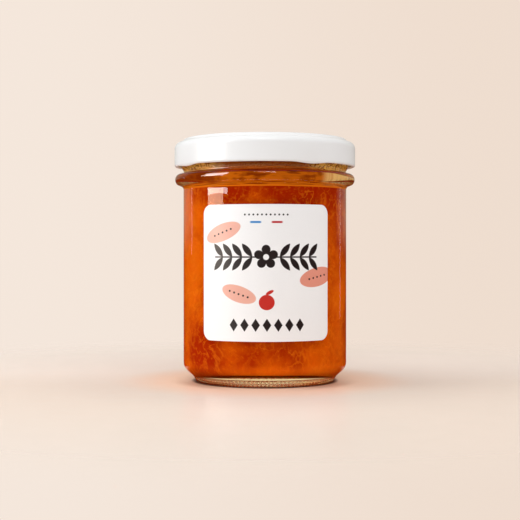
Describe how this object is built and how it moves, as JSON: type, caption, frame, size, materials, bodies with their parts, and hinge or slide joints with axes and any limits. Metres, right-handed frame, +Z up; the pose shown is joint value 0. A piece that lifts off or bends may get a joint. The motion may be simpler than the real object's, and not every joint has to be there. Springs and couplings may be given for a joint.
{
  "type": "jam jar",
  "caption": "Round glass jar of apricot jam with a carrying bead, a white twist-off metal cap and a paper label on the front.",
  "frame": {"origin": "centre of the foot, on the surface the jar stands on", "axes": "+Z up along the jar's axis, -Y out through the middle of the label, +X to the right of the label seen from the front"},
  "size_m": [0.085, 0.085, 0.1134],
  "materials": {
    "clear_glass": "clear moulded soda-lime glass, gloss, knurled foot",
    "apricot_jam": "wet, cloudy, translucent orange with paler pulp",
    "white_lacquer": "satin white lacquer on tinplate",
    "label_paper": "smooth matt paper with printed shapes"
  },
  "bodies": {
    "root": {"glass_jar": "clear_glass", "jam": "apricot_jam", "cap": "white_lacquer", "label": "label_paper"}
  },
  "joints": []
}
